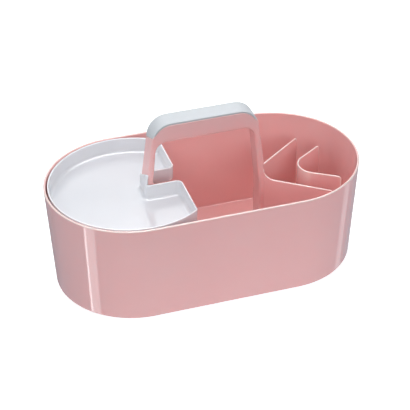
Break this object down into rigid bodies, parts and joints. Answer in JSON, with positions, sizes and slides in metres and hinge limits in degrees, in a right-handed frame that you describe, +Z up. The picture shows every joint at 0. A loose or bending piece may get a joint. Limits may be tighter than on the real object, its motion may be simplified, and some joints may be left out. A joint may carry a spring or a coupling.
{
  "type": "cleaning caddy",
  "caption": "Oval open-topped caddy with a rigid carrying arch, grip cap, V-shaped dividers and a notched tray that lifts out.",
  "frame": {"origin": "centre of the caddy's footprint, on the surface it stands on", "axes": "+X along the tub towards the divider end, +Y across it towards the back, +Z up"},
  "size_m": [0.38, 0.203, 0.2057],
  "materials": {
    "tub_pink": "gloss",
    "frame_pink": "gloss",
    "divider_pink": "gloss",
    "cap_grey": "satin",
    "tray_white": "gloss",
    "screw_steel": "zinc plated"
  },
  "bodies": {
    "caddy": {"tub": "tub_pink", "handle_frame": "frame_pink", "inner_divider": "divider_pink", "grip_cap": "cap_grey", "base_screws": "screw_steel"},
    "tray": {"lift_out_tray": "tray_white"}
  },
  "joints": [
    {"name": "tray_lift", "type": "slide", "parent": "caddy", "child": "tray", "axis": [0, 0, 1], "range_m": [0, 0.11]}
  ]
}
